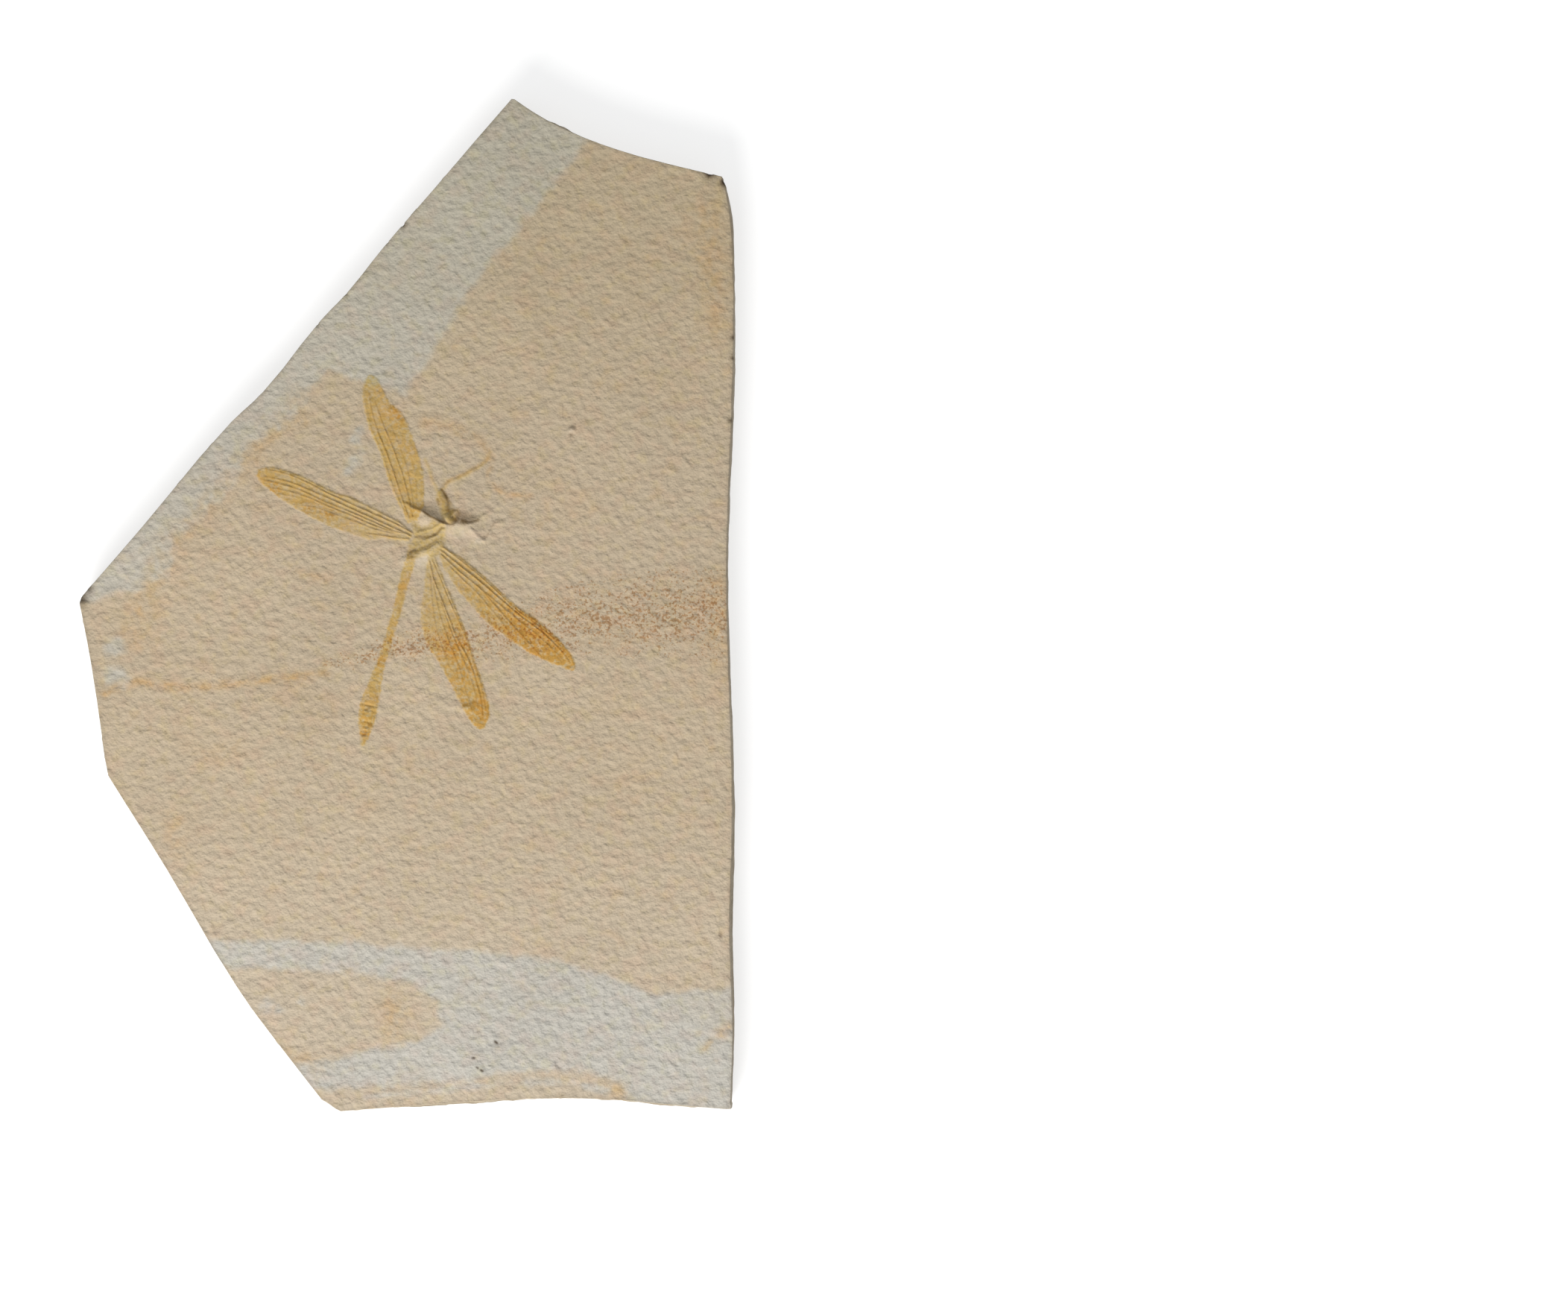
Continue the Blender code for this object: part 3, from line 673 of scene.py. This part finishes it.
def relief(where):
    """The insect's height above the bare stone."""
    membrane = np.zeros(len(where))
    veins = np.zeros(len(where))
    for wing in WINGS.values():
        depth = depth_in(where, wing_outline(wing), 1.0)
        membrane = np.maximum(membrane, ease(depth, -0.25, 0.2))
        inner = ease(depth, -0.1, 0.3)
        lines = [(placed(wing, smooth_line(points)), strength) for strength, points in wing["veins"]]
        edge = smooth_line(wing["leading"])
        lines.append((placed(wing, np.column_stack([edge[:, 0], edge[:, 1] - 0.3])), 0.5))
        for line, strength in lines:
            some = near(where, line, 0.6)
            distance, share, _ = follow(where[some], line)
            taper = strength * (1 - 0.6 * share**2) * VEIN_RISE
            veins[some] = np.maximum(veins[some], taper * np.exp(-((distance / VEIN_WIDTH) ** 2)) * inner[some])
        for line in fan_lines(wing):
            some = near(where, line, 0.5)
            distance = follow(where[some], line)[0]
            wave = wing["fan"] * FAN_RISE * np.exp(-((distance / FAN_WIDTH) ** 2)) * inner[some]
            veins[some] = np.maximum(veins[some], wave)
    veins *= 1 + 0.5 * rough(where, 1.5, 21, 1)

    broad = np.zeros(len(where))
    for points, rises, (left, right) in SLOPES.values():
        line = smooth_line(points)
        distance, share, side = follow(where, line)
        rise = np.interp(share, np.linspace(0, 1, len(rises)), rises)
        broad = np.maximum(broad, slope(distance, np.where(side > 0, left, right), rise))

    body = np.zeros(len(where))
    for place, half_length, half_width, rise, turn in LUMPS.values():
        away = where - place
        c, s = math.cos(math.radians(turn)), math.sin(math.radians(turn))
        u = (away[:, 0] * c + away[:, 1] * s) / half_length
        v = (-away[:, 0] * s + away[:, 1] * c) / half_width
        dome = rise * np.clip(1 - u * u - v * v, 0, 1)
        body = np.maximum(body, dome) + 0.5 * np.minimum(body, dome)
    for points, (start, end), (left, right) in RIDGES.values():
        line = smooth_line(points)
        some = near(where, line, 1.6 * max(left, right, 0.6))
        distance, share, side = follow(where[some], line)
        reach = np.where(side > 0, left, right)
        ridge = slope(distance, reach, start + (end - start) * share)
        body[some] = np.maximum(body[some], ridge) + 0.5 * np.minimum(body[some], ridge)

    centre = smooth_line([(*place, width) for place, width in ABDOMEN])
    some = near(where, centre, 3.0)
    distance, share, _ = follow(where[some], centre[:, :2])
    widths = np.interp(share, np.linspace(0, 1, len(centre)), centre[:, 2])
    tube = (1 - ease(distance / widths, 0.1, 1.25)) * ABDOMEN_RISE * widths
    for joint, deep in ABDOMEN_JOINTS:
        tube *= 1 - deep * np.exp(-(((share - joint) * 41 / 0.24) ** 2))
    body[some] = np.maximum(body[some], tube)
    return MEMBRANE_RISE * membrane + veins + broad + body


def stone(where):
    """The grain and gentle waves of the split face."""
    waves = 0.12 * rough(where, 38.0, 1, 2) + 0.03 * rough(where, 9.0, 2, 2)
    return waves + 0.06 * rough(where, 2.6, 3, 2)


def marked(where, marks):
    """How strongly each place is covered by marks with soft edges."""
    amount = np.zeros(len(where))
    for points, width, strength in marks:
        line = np.array(points, dtype=float)
        some = near(where, line, 3 * width)
        distance = follow(where[some], line)[0]
        amount[some] = np.maximum(amount[some], strength * np.exp(-((distance / width) ** 2)))
    return amount


def tone_layers(where):
    """The amounts of each stain, and of the painted highlights and shade, at each place of the split face."""
    layers = {}
    grey = np.full(len(where), -8.0)
    for outline, sign in GREY_FIELDS:
        depth = depth_in(where, np.array(outline, dtype=float), 8.0)
        grey = np.maximum(grey, depth) if sign > 0 else np.minimum(grey, -depth)
    for place, radius in GREY_SPOTS:
        grey = np.maximum(grey, radius - np.hypot(*(where - place).T))
    layers["grey"] = grey

    rust = np.zeros(len(where))
    for points, (start, end), strength in RUST_STREAKS:
        line = smooth_line(points)
        some = near(where, line, 3 * max(start, end))
        distance, share, _ = follow(where[some], line)
        width = start + (end - start) * share
        rust[some] = np.maximum(rust[some], strength * np.exp(-((distance / width) ** 2)))
    layers["rust"] = rust

    line = smooth_line(SPECK_BAND)
    distance, share, _ = follow(where, line)
    widths = np.interp(share, np.linspace(0, 1, len(line)), line[:, 2])
    layers["specks"] = np.clip(1 - distance / (1.35 * widths), 0, 1)

    wings = np.zeros(len(where))
    gold = np.zeros(len(where))
    orange = np.zeros(len(where))
    veins = np.zeros(len(where))
    for wing in WINGS.values():
        root, along, _ = wing_frame(wing)
        share = np.clip(((where - root) @ along) / 36.0, 0, 1)
        depth = depth_in(where, wing_outline(wing), 1.6)
        mask = np.clip(0.5 + depth, 0, 1)
        here = (mask > wings) | ((depth > -1.5) & (wings == 0))
        wings = np.maximum(wings, mask)
        gold[here] = (wing["gold"][0] + (wing["gold"][1] - wing["gold"][0]) * share)[here]
        orange[here] = (wing["orange"][0] + (wing["orange"][1] - wing["orange"][0]) * share)[here]
        for strength, points in wing["veins"]:
            line = placed(wing, smooth_line(points))
            some = near(where, line, 0.6)
            distance = follow(where[some], line)[0]
            veins[some] = np.maximum(veins[some], strength * np.exp(-((distance / 0.19) ** 2)))
    centre = smooth_line([(*place, width) for place, width in ABDOMEN])
    some = near(where, centre, 3.0)
    distance, share, _ = follow(where[some], centre[:, :2])
    widths = np.interp(share, np.linspace(0, 1, len(centre)), centre[:, 2])
    mask = np.clip(0.5 + widths - distance, 0, 1)
    here = (mask > wings[some]) | ((distance < widths + 1.5) & (wings[some] == 0))
    gold[some] = np.where(here, 0.9 + 0.1 * share, gold[some])
    orange[some] = np.where(here, 0.1 + 0.2 * share, orange[some])
    wings[some] = np.maximum(wings[some], mask)
    for place, reach, amount in ORANGE_SPOTS:
        orange += amount * np.exp(-(((where - place) ** 2).sum(axis=1) / reach**2)) * (gold > 0)
    layers["wing"] = wings
    layers["gold"] = gold
    layers["orange"] = orange
    layers["vein"] = veins

    body = np.zeros(len(where))
    for amount, outline in GOLD_FIELDS:
        body = np.maximum(body, amount * ease(depth_in(where, np.array(outline), 1.0), -0.5, 0.6))
    body = np.maximum(body, marked(where, [(RIDGES[name][0], *LEG_GOLD) for name in GOLD_LEGS]))
    layers["body"] = body

    # Brown stain, and painted shade on the shaded north sides of the body's crests.
    layers["brown_and_shade"] = marked(where, BROWN_AND_SHADE_MARKS)
    # Paler stone, and painted highlights where slopes face the light.
    layers["pale_and_highlight"] = marked(where, PALE_AND_HIGHLIGHT_MARKS)
    # Dark specks and chips of the stone, with painted shade at the blister.
    dark_and_shade = marked(where, DARK_AND_SHADE_MARKS)
    for place, half_length, _, strength in FLAKES:
        away = np.hypot(*(where - place).T) / (0.75 * half_length)
        dark_and_shade = np.maximum(dark_and_shade, strength * np.exp(-(away**2)))
    layers["dark_and_shade"] = dark_and_shade
    return layers


def store(mesh, name, values):
    layer = mesh.attributes.new(name, "FLOAT", "POINT")
    layer.data.foreach_set("value", np.asarray(values, dtype=np.float32))


def build_plate():
    random = np.random.default_rng(11)
    shape, tree = packed_plate()
    top = face_height(tree)
    rim, out, marks = rim_points(plan_of(shape))
    shape.free()
    columns = len(rim)

    levels = [top - drop for drop in WALL_ROWS]
    offsets = wall_offsets(rim, out, levels, tree)
    flaked = np.zeros(columns)
    for place, half_length, depth, _ in FLAKES:
        away = np.hypot(*(rim - place).T) / half_length
        flaked = np.maximum(flaked, depth * (1 - ease(away, 0.3, 1.2)))
    on_right = ease(out[:, 0], 0.6, 0.97)
    bevel = BEVEL + (BEVEL_RIGHT - BEVEL) * on_right
    bevel = bevel * (1 + 0.3 * rough(rim, 3.0, 5))
    rings = []
    for row, drop in enumerate(WALL_ROWS):
        round_off = bevel * (1 - np.sin(np.minimum(drop / (2 * bevel), 1.0) * math.pi / 2))
        chip = flaked * np.clip(1 - drop / (2 * np.maximum(flaked, 0.01)), 0, 1)
        along = np.column_stack([rim, np.full(columns, drop)])
        beds = np.array([noise.fractal(Vector((x / 9, y / 9, z / 0.55)), 1.0, 2.0, 3) for x, y, z in along])
        lumps = np.array([noise.fractal(Vector((x / 3.2, y / 3.2, z / 2.4 + 40)), 1.0, 2.0, 3) for x, y, z in along])
        broken = ease(drop, 0.25, 1.0) * (0.22 * beds + 0.3 * lumps - 0.1) * (1 - 0.65 * on_right)
        foot = 0.5 * (1 - ease(top - drop, 0.0, 0.7)) + RIGHT_STANDS_BACK * on_right
        spots = rim + out * (offsets[row] * ease(drop, 0.3, 1.2) + broken - round_off - chip - foot)[:, None]
        height = np.full(columns, top - drop) - 0.4 * flaked * (drop < 0.1)
        rings.append(np.column_stack([spots, height]))

    edge = rings[0][:, :2]
    inner = face_places(edge, random)
    face = np.vstack([edge, inner])
    ground = stone(face)
    heights = top + ground * ease(depth_in(face, edge, 3.0), 0.0, 1.5) + relief(face)
    heights[:columns] = rings[0][:, 2]

    base_edge = rings[-1][:, :2]
    base_inner = lattice(base_edge.min(axis=0), base_edge.max(axis=0), BASE_SPACING, random)
    base_inner = base_inner[depth_in(base_inner, base_edge, 4.0) > 0.5 * BASE_SPACING]
    base = np.vstack([base_edge, base_inner])

    loop = [(n, (n + 1) % columns) for n in range(columns)]
    face_mesh = delaunay_2d_cdt([Vector(place) for place in face], loop, [], 1, 1e-6)
    base_mesh = delaunay_2d_cdt([Vector(place) for place in base], loop, [], 1, 1e-6)
    assert len(face_mesh[0]) == len(face) and len(base_mesh[0]) == len(base)

    points = [np.column_stack([face, heights])]
    faces = [tuple(triangle) for triangle in face_mesh[2]]
    count = len(face)
    ring_start = [0]
    for ring in rings[1:]:
        ring_start.append(count)
        points.append(ring)
        count += columns
    for upper, lower in zip(ring_start, ring_start[1:]):
        for a, b in loop:
            faces.append((upper + b, upper + a, lower + a, lower + b))
    points.append(np.column_stack([base_inner, 0.25 * np.abs(rough(base_inner, 7.0, 8))]))
    last = ring_start[-1]
    numbers = [last + n if n < columns else count + n - columns for n in range(len(base))]
    faces += [tuple(numbers[n] for n in reversed(triangle)) for triangle in base_mesh[2]]

    points = np.vstack(points)
    mesh = bpy.data.meshes.new("stone_plate")
    mesh.from_pydata(points * MM, [], faces)
    mesh.shade_smooth()
    mesh.set_sharp_from_angle(angle=math.radians(50))
    stained = len(face) + 3 * columns
    for name, amount in tone_layers(points[:stained, :2]).items():
        store(mesh, name, np.concatenate([amount, np.zeros(len(points) - stained)]))
    fresh = np.zeros(len(points))
    fresh[: len(face)] = 1.0
    fresh[:columns] = 0.65
    fresh[len(face) : len(face) + columns] = 0.35
    fresh[len(face) + columns : len(face) + 2 * columns] = 0.15
    fresh[-len(base_inner) :] = 0.75
    store(mesh, "face", fresh)
    mesh.materials.append(limestone())
    plate = bpy.data.objects.new("stone_plate", mesh)
    bpy.context.scene.collection.objects.link(plate)
    return plate, top


class Shader:
    """Short ways of adding nodes to one material."""

    def __init__(self, material):
        material.use_nodes = True
        self.tree = material.node_tree
        self.tree.nodes.clear()

    def node(self, kind, inputs, **settings):
        made = self.tree.nodes.new(kind)
        for name, value in settings.items():
            setattr(made, name, value)
        for key, value in inputs.items():
            if isinstance(value, bpy.types.NodeSocket):
                self.tree.links.new(value, made.inputs[key])
            else:
                made.inputs[key].default_value = value
        return made

    def maths(self, operation, first, second=0.0):
        return self.node("ShaderNodeMath", {0: first, 1: second}, operation=operation).outputs[0]

    def layer(self, name):
        return self.node("ShaderNodeAttribute", {}, attribute_name=name).outputs["Fac"]

    def noise(self, place, size, detail=2.0, seed=0.0):
        moved = self.node("ShaderNodeVectorMath", {0: place, 1: (seed * 13.1, seed * 7.7, seed * 3.3)})
        inputs = {"Vector": moved.outputs[0], "Scale": 1.0 / size, "Detail": detail}
        return self.node("ShaderNodeTexNoise", inputs).outputs[0]

    def between(self, value, low, high):
        """0 at low, 1 at high, and smooth between."""
        inputs = {"Value": value, "From Min": low, "From Max": high}
        return self.node("ShaderNodeMapRange", inputs, interpolation_type="SMOOTHSTEP").outputs[0]

    def tinted(self, colour, tint, amount):
        inputs = {0: amount, 6: colour, 7: tint}
        return self.node("ShaderNodeMix", inputs, data_type="RGBA", blend_type="MULTIPLY").outputs[2]

    def mixed(self, colour, other, amount):
        return self.node("ShaderNodeMix", {0: amount, 6: colour, 7: other}, data_type="RGBA").outputs[2]

    def shaded(self, colour, value, strength):
        """The colour made lighter and darker by a noise of mean a half."""
        swing = self.maths("ADD", self.maths("MULTIPLY", self.maths("SUBTRACT", value, 0.5), strength), 1.0)
        inputs = {0: colour, "Scale": swing}
        return self.node("ShaderNodeVectorMath", inputs, operation="SCALE").outputs[0]


def limestone():
    material = bpy.data.materials.new("limestone")
    s = Shader(material)
    coordinates = s.node("ShaderNodeTexCoord", {}).outputs["Object"]
    place = s.node("ShaderNodeVectorMath", {0: coordinates, "Scale": 1000.0}, operation="SCALE").outputs[0]

    grain = s.noise(place, 0.42, 3.0, 1)
    coarse = s.noise(place, 1.6, 2.5, 2)
    blotch = s.noise(place, 4.5, 3.0, 3)
    cloud = s.noise(place, 24.0, 3.0, 4)
    fleck = s.noise(place, 1.9, 3.0, 12)

    edge = s.maths("ADD", s.layer("grey"), s.maths("MULTIPLY", s.maths("SUBTRACT", blotch, 0.5), 3.2))
    edge = s.maths("ADD", edge, s.maths("MULTIPLY", s.maths("SUBTRACT", fleck, 0.5), 1.8))
    colour = s.tinted(TAN, GREY_TINT, s.between(edge, -1.1, 1.1))
    apart = s.node("ShaderNodeSeparateXYZ", {0: place})
    colour = s.tinted(colour, TOP_TINT, s.between(apart.outputs[1], 20.0, 95.0))
    colour = s.tinted(colour, FOOT_TINT, s.between(apart.outputs[1], -25.0, -95.0))
    colour = s.shaded(colour, cloud, 0.16)
    colour = s.shaded(colour, blotch, 0.10)
    colour = s.tinted(colour, PINK_TINT, s.between(s.noise(place, 3.4, 3.0, 13), 0.45, 0.7))
    colour = s.tinted(colour, YELLOW_TINT, s.between(s.noise(place, 2.6, 3.0, 14), 0.48, 0.72))

    patchy = s.between(s.noise(place, 2.4, 4.0, 6), 0.34, 0.66)
    rust = s.maths("MULTIPLY", s.layer("rust"), s.maths("ADD", s.maths("MULTIPLY", patchy, 1.1), 0.25))
    warm = s.maths("MULTIPLY", s.between(s.noise(place, 13.0, 5.0, 7), 0.5, 0.75), 0.13)
    band = s.maths("MULTIPLY", s.between(s.layer("specks"), 0.0, 0.5), s.maths("MULTIPLY", patchy, 0.2))
    colour = s.tinted(colour, RUST_TINT, s.maths("ADD", s.maths("ADD", rust, warm), band))

    # Paler stone, and painted highlights on slopes that face the light, the neck, the knob and the blister.
    colour = s.tinted(colour, PALE_AND_HIGHLIGHT_TINT, s.layer("pale_and_highlight"))

    ragged = s.maths("ADD", s.layer("wing"), s.maths("MULTIPLY", s.maths("SUBTRACT", fleck, 0.5), 0.8))
    ragged = s.maths("ADD", ragged, s.maths("MULTIPLY", s.maths("SUBTRACT", grain, 0.5), 0.7))
    ragged = s.between(ragged, 0.14, 0.82)
    mottle = s.between(s.noise(place, 0.8, 4.0, 8), 0.3, 0.65)
    worn = s.maths("ADD", s.maths("MULTIPLY", mottle, 0.62), 0.56)
    gold = s.maths("MAXIMUM", s.maths("MULTIPLY", ragged, s.layer("gold")), s.layer("body"))
    colour = s.tinted(colour, GOLD_TINT, s.maths("MULTIPLY", gold, worn))
    ochre = s.maths("MULTIPLY", s.layer("orange"), s.maths("ADD", s.maths("MULTIPLY", mottle, 1.5), 0.12))
    colour = s.tinted(colour, ORANGE_TINT, s.maths("MULTIPLY", ragged, ochre))
    colour = s.tinted(colour, VEIN_TINT, s.maths("MULTIPLY", s.layer("vein"), 0.62))

    dots = s.noise(place, 0.55, 2.5, 9)
    clumps = s.noise(place, 3.4, 3.0, 10)
    chance = s.maths("ADD", s.layer("specks"), s.maths("MULTIPLY", s.maths("SUBTRACT", clumps, 0.5), 1.5))
    limit = s.maths("SUBTRACT", 0.67, s.maths("MULTIPLY", chance, 0.13))
    speck = s.between(s.maths("SUBTRACT", dots, limit), -0.07, 0.08)
    speck = s.maths("MULTIPLY", speck, s.between(s.layer("specks"), 0.0, 0.15))
    colour = s.tinted(colour, SPECK_TINT, s.maths("MULTIPLY", speck, 0.82))
    # Brown stain, and painted shade on the shaded sides of the body's crests.
    colour = s.tinted(colour, BROWN_AND_SHADE_TINT, s.layer("brown_and_shade"))

    bent = s.maths("ADD", apart.outputs[2], s.maths("MULTIPLY", blotch, 0.9))
    layered = s.node("ShaderNodeCombineXYZ", {0: s.maths("MULTIPLY", apart.outputs[0], 0.05),
                                              1: s.maths("MULTIPLY", apart.outputs[1], 0.05), 2: bent})
    beds = s.noise(layered.outputs[0], 0.55, 3.0, 11)
    wall = s.tinted(WALL, WALL_TINT, s.between(beds, 0.35, 0.7))
    wall = s.shaded(wall, coarse, 0.3)
    colour = s.mixed(wall, colour, s.layer("face"))
    # Dark specks and chips, and painted shade at the blister.
    colour = s.tinted(colour, DARK_AND_SHADE_TINT, s.layer("dark_and_shade"))

    colour = s.shaded(colour, coarse, 0.12)
    colour = s.shaded(colour, grain, 0.18)

    crease = s.maths("ABSOLUTE", s.maths("SUBTRACT", s.noise(place, 2.4, 2.0, 15), 0.5))
    heights = s.maths("ADD", s.maths("MULTIPLY", coarse, 0.56), s.maths("MULTIPLY", grain, 0.05))
    heights = s.maths("ADD", heights, s.maths("MULTIPLY", crease, 0.28))
    smoother = s.maths("MAXIMUM", s.maths("MAXIMUM", s.layer("wing"), s.layer("body")), s.layer("pale_and_highlight"))
    calm = s.maths("SUBTRACT", 1.0, s.maths("MULTIPLY", smoother, 0.25))
    heights = s.maths("MULTIPLY", s.maths("SUBTRACT", heights, 0.33), calm)
    bump = s.node("ShaderNodeBump", {"Height": heights, "Distance": MM, "Strength": 1.0}).outputs[0]
    rough_shine = s.maths("ADD", s.maths("MULTIPLY", grain, 0.1), 0.84)
    inputs = {"Base Color": colour, "Roughness": rough_shine, "Normal": bump}
    surface = s.node("ShaderNodeBsdfPrincipled", inputs)
    surface.inputs["Specular IOR Level"].default_value = 0.2
    s.node("ShaderNodeOutputMaterial", {0: surface.outputs[0]})
    return material


def paper():
    """The pale ground under the plate: white where it is lit, with soft shadows."""
    material = bpy.data.materials.new("paper")
    s = Shader(material)
    inputs = {
        "Base Color": (0.55, 0.55, 0.55, 1),
        "Roughness": 1.0,
        "Emission Color": (1, 1, 1, 1),
        "Emission Strength": 0.64,
    }
    surface = s.node("ShaderNodeBsdfPrincipled", inputs)
    surface.inputs["Specular IOR Level"].default_value = 0.0
    s.node("ShaderNodeOutputMaterial", {0: surface.outputs[0]})
    return material


def add_ground():
    mesh = bpy.data.meshes.new("ground")
    half = 2.0
    mesh.from_pydata([(-half, -half, 0), (half, -half, 0), (half, half, 0), (-half, half, 0)], [], [(0, 1, 2, 3)])
    ground = bpy.data.objects.new("ground", mesh)
    mesh.materials.append(paper())
    bpy.context.scene.collection.objects.link(ground)


def add_light():
    data = bpy.data.lights.new("key", "AREA")
    data.shape = "DISK"
    data.size = LIGHT_SIZE
    data.energy = 10.9
    data.color = (1.0, 0.985, 0.96)
    key = bpy.data.objects.new("key", data)
    lift = math.radians(LIGHT_HEIGHT)
    way = Vector((*(math.cos(lift) * part for part in LIGHT_WAY), math.sin(lift)))
    key.location = way * LIGHT_DISTANCE
    key.rotation_euler = way.to_track_quat("Z", "Y").to_euler()
    bpy.context.scene.collection.objects.link(key)

    world = bpy.data.worlds.new("studio")
    bpy.context.scene.world = world
    world.use_nodes = True
    tree = world.node_tree
    tree.nodes.clear()
    fill = tree.nodes.new("ShaderNodeBackground")
    fill.inputs[1].default_value = 0.49
    white = tree.nodes.new("ShaderNodeBackground")
    white.inputs[0].default_value = (1, 1, 1, 1)
    seen = tree.nodes.new("ShaderNodeLightPath")
    both = tree.nodes.new("ShaderNodeMixShader")
    out = tree.nodes.new("ShaderNodeOutputWorld")
    fill.inputs[0].default_value = (0.97, 0.985, 1.0, 1)
    tree.links.new(seen.outputs["Is Camera Ray"], both.inputs[0])
    tree.links.new(fill.outputs[0], both.inputs[1])
    tree.links.new(white.outputs[0], both.inputs[2])
    tree.links.new(both.outputs[0], out.inputs[0])


def add_camera():
    data = bpy.data.cameras.new("camera")
    camera = bpy.data.objects.new("camera", data)
    camera.location = (CAMERA_OVER[0] * MM, CAMERA_OVER[1] * MM, TOP * MM + CAMERA_DISTANCE)
    data.sensor_width = 36.0
    data.lens = 36.0 * CAMERA_DISTANCE / FIELD_WIDTH
    data.clip_start = 0.01
    bpy.context.scene.collection.objects.link(camera)
    bpy.context.scene.camera = camera


plate, TOP = build_plate()
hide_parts("fossil_slab")
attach(plate, "root")
add_ground()
add_light()
add_camera()
bpy.context.scene.view_settings.view_transform = "Standard"
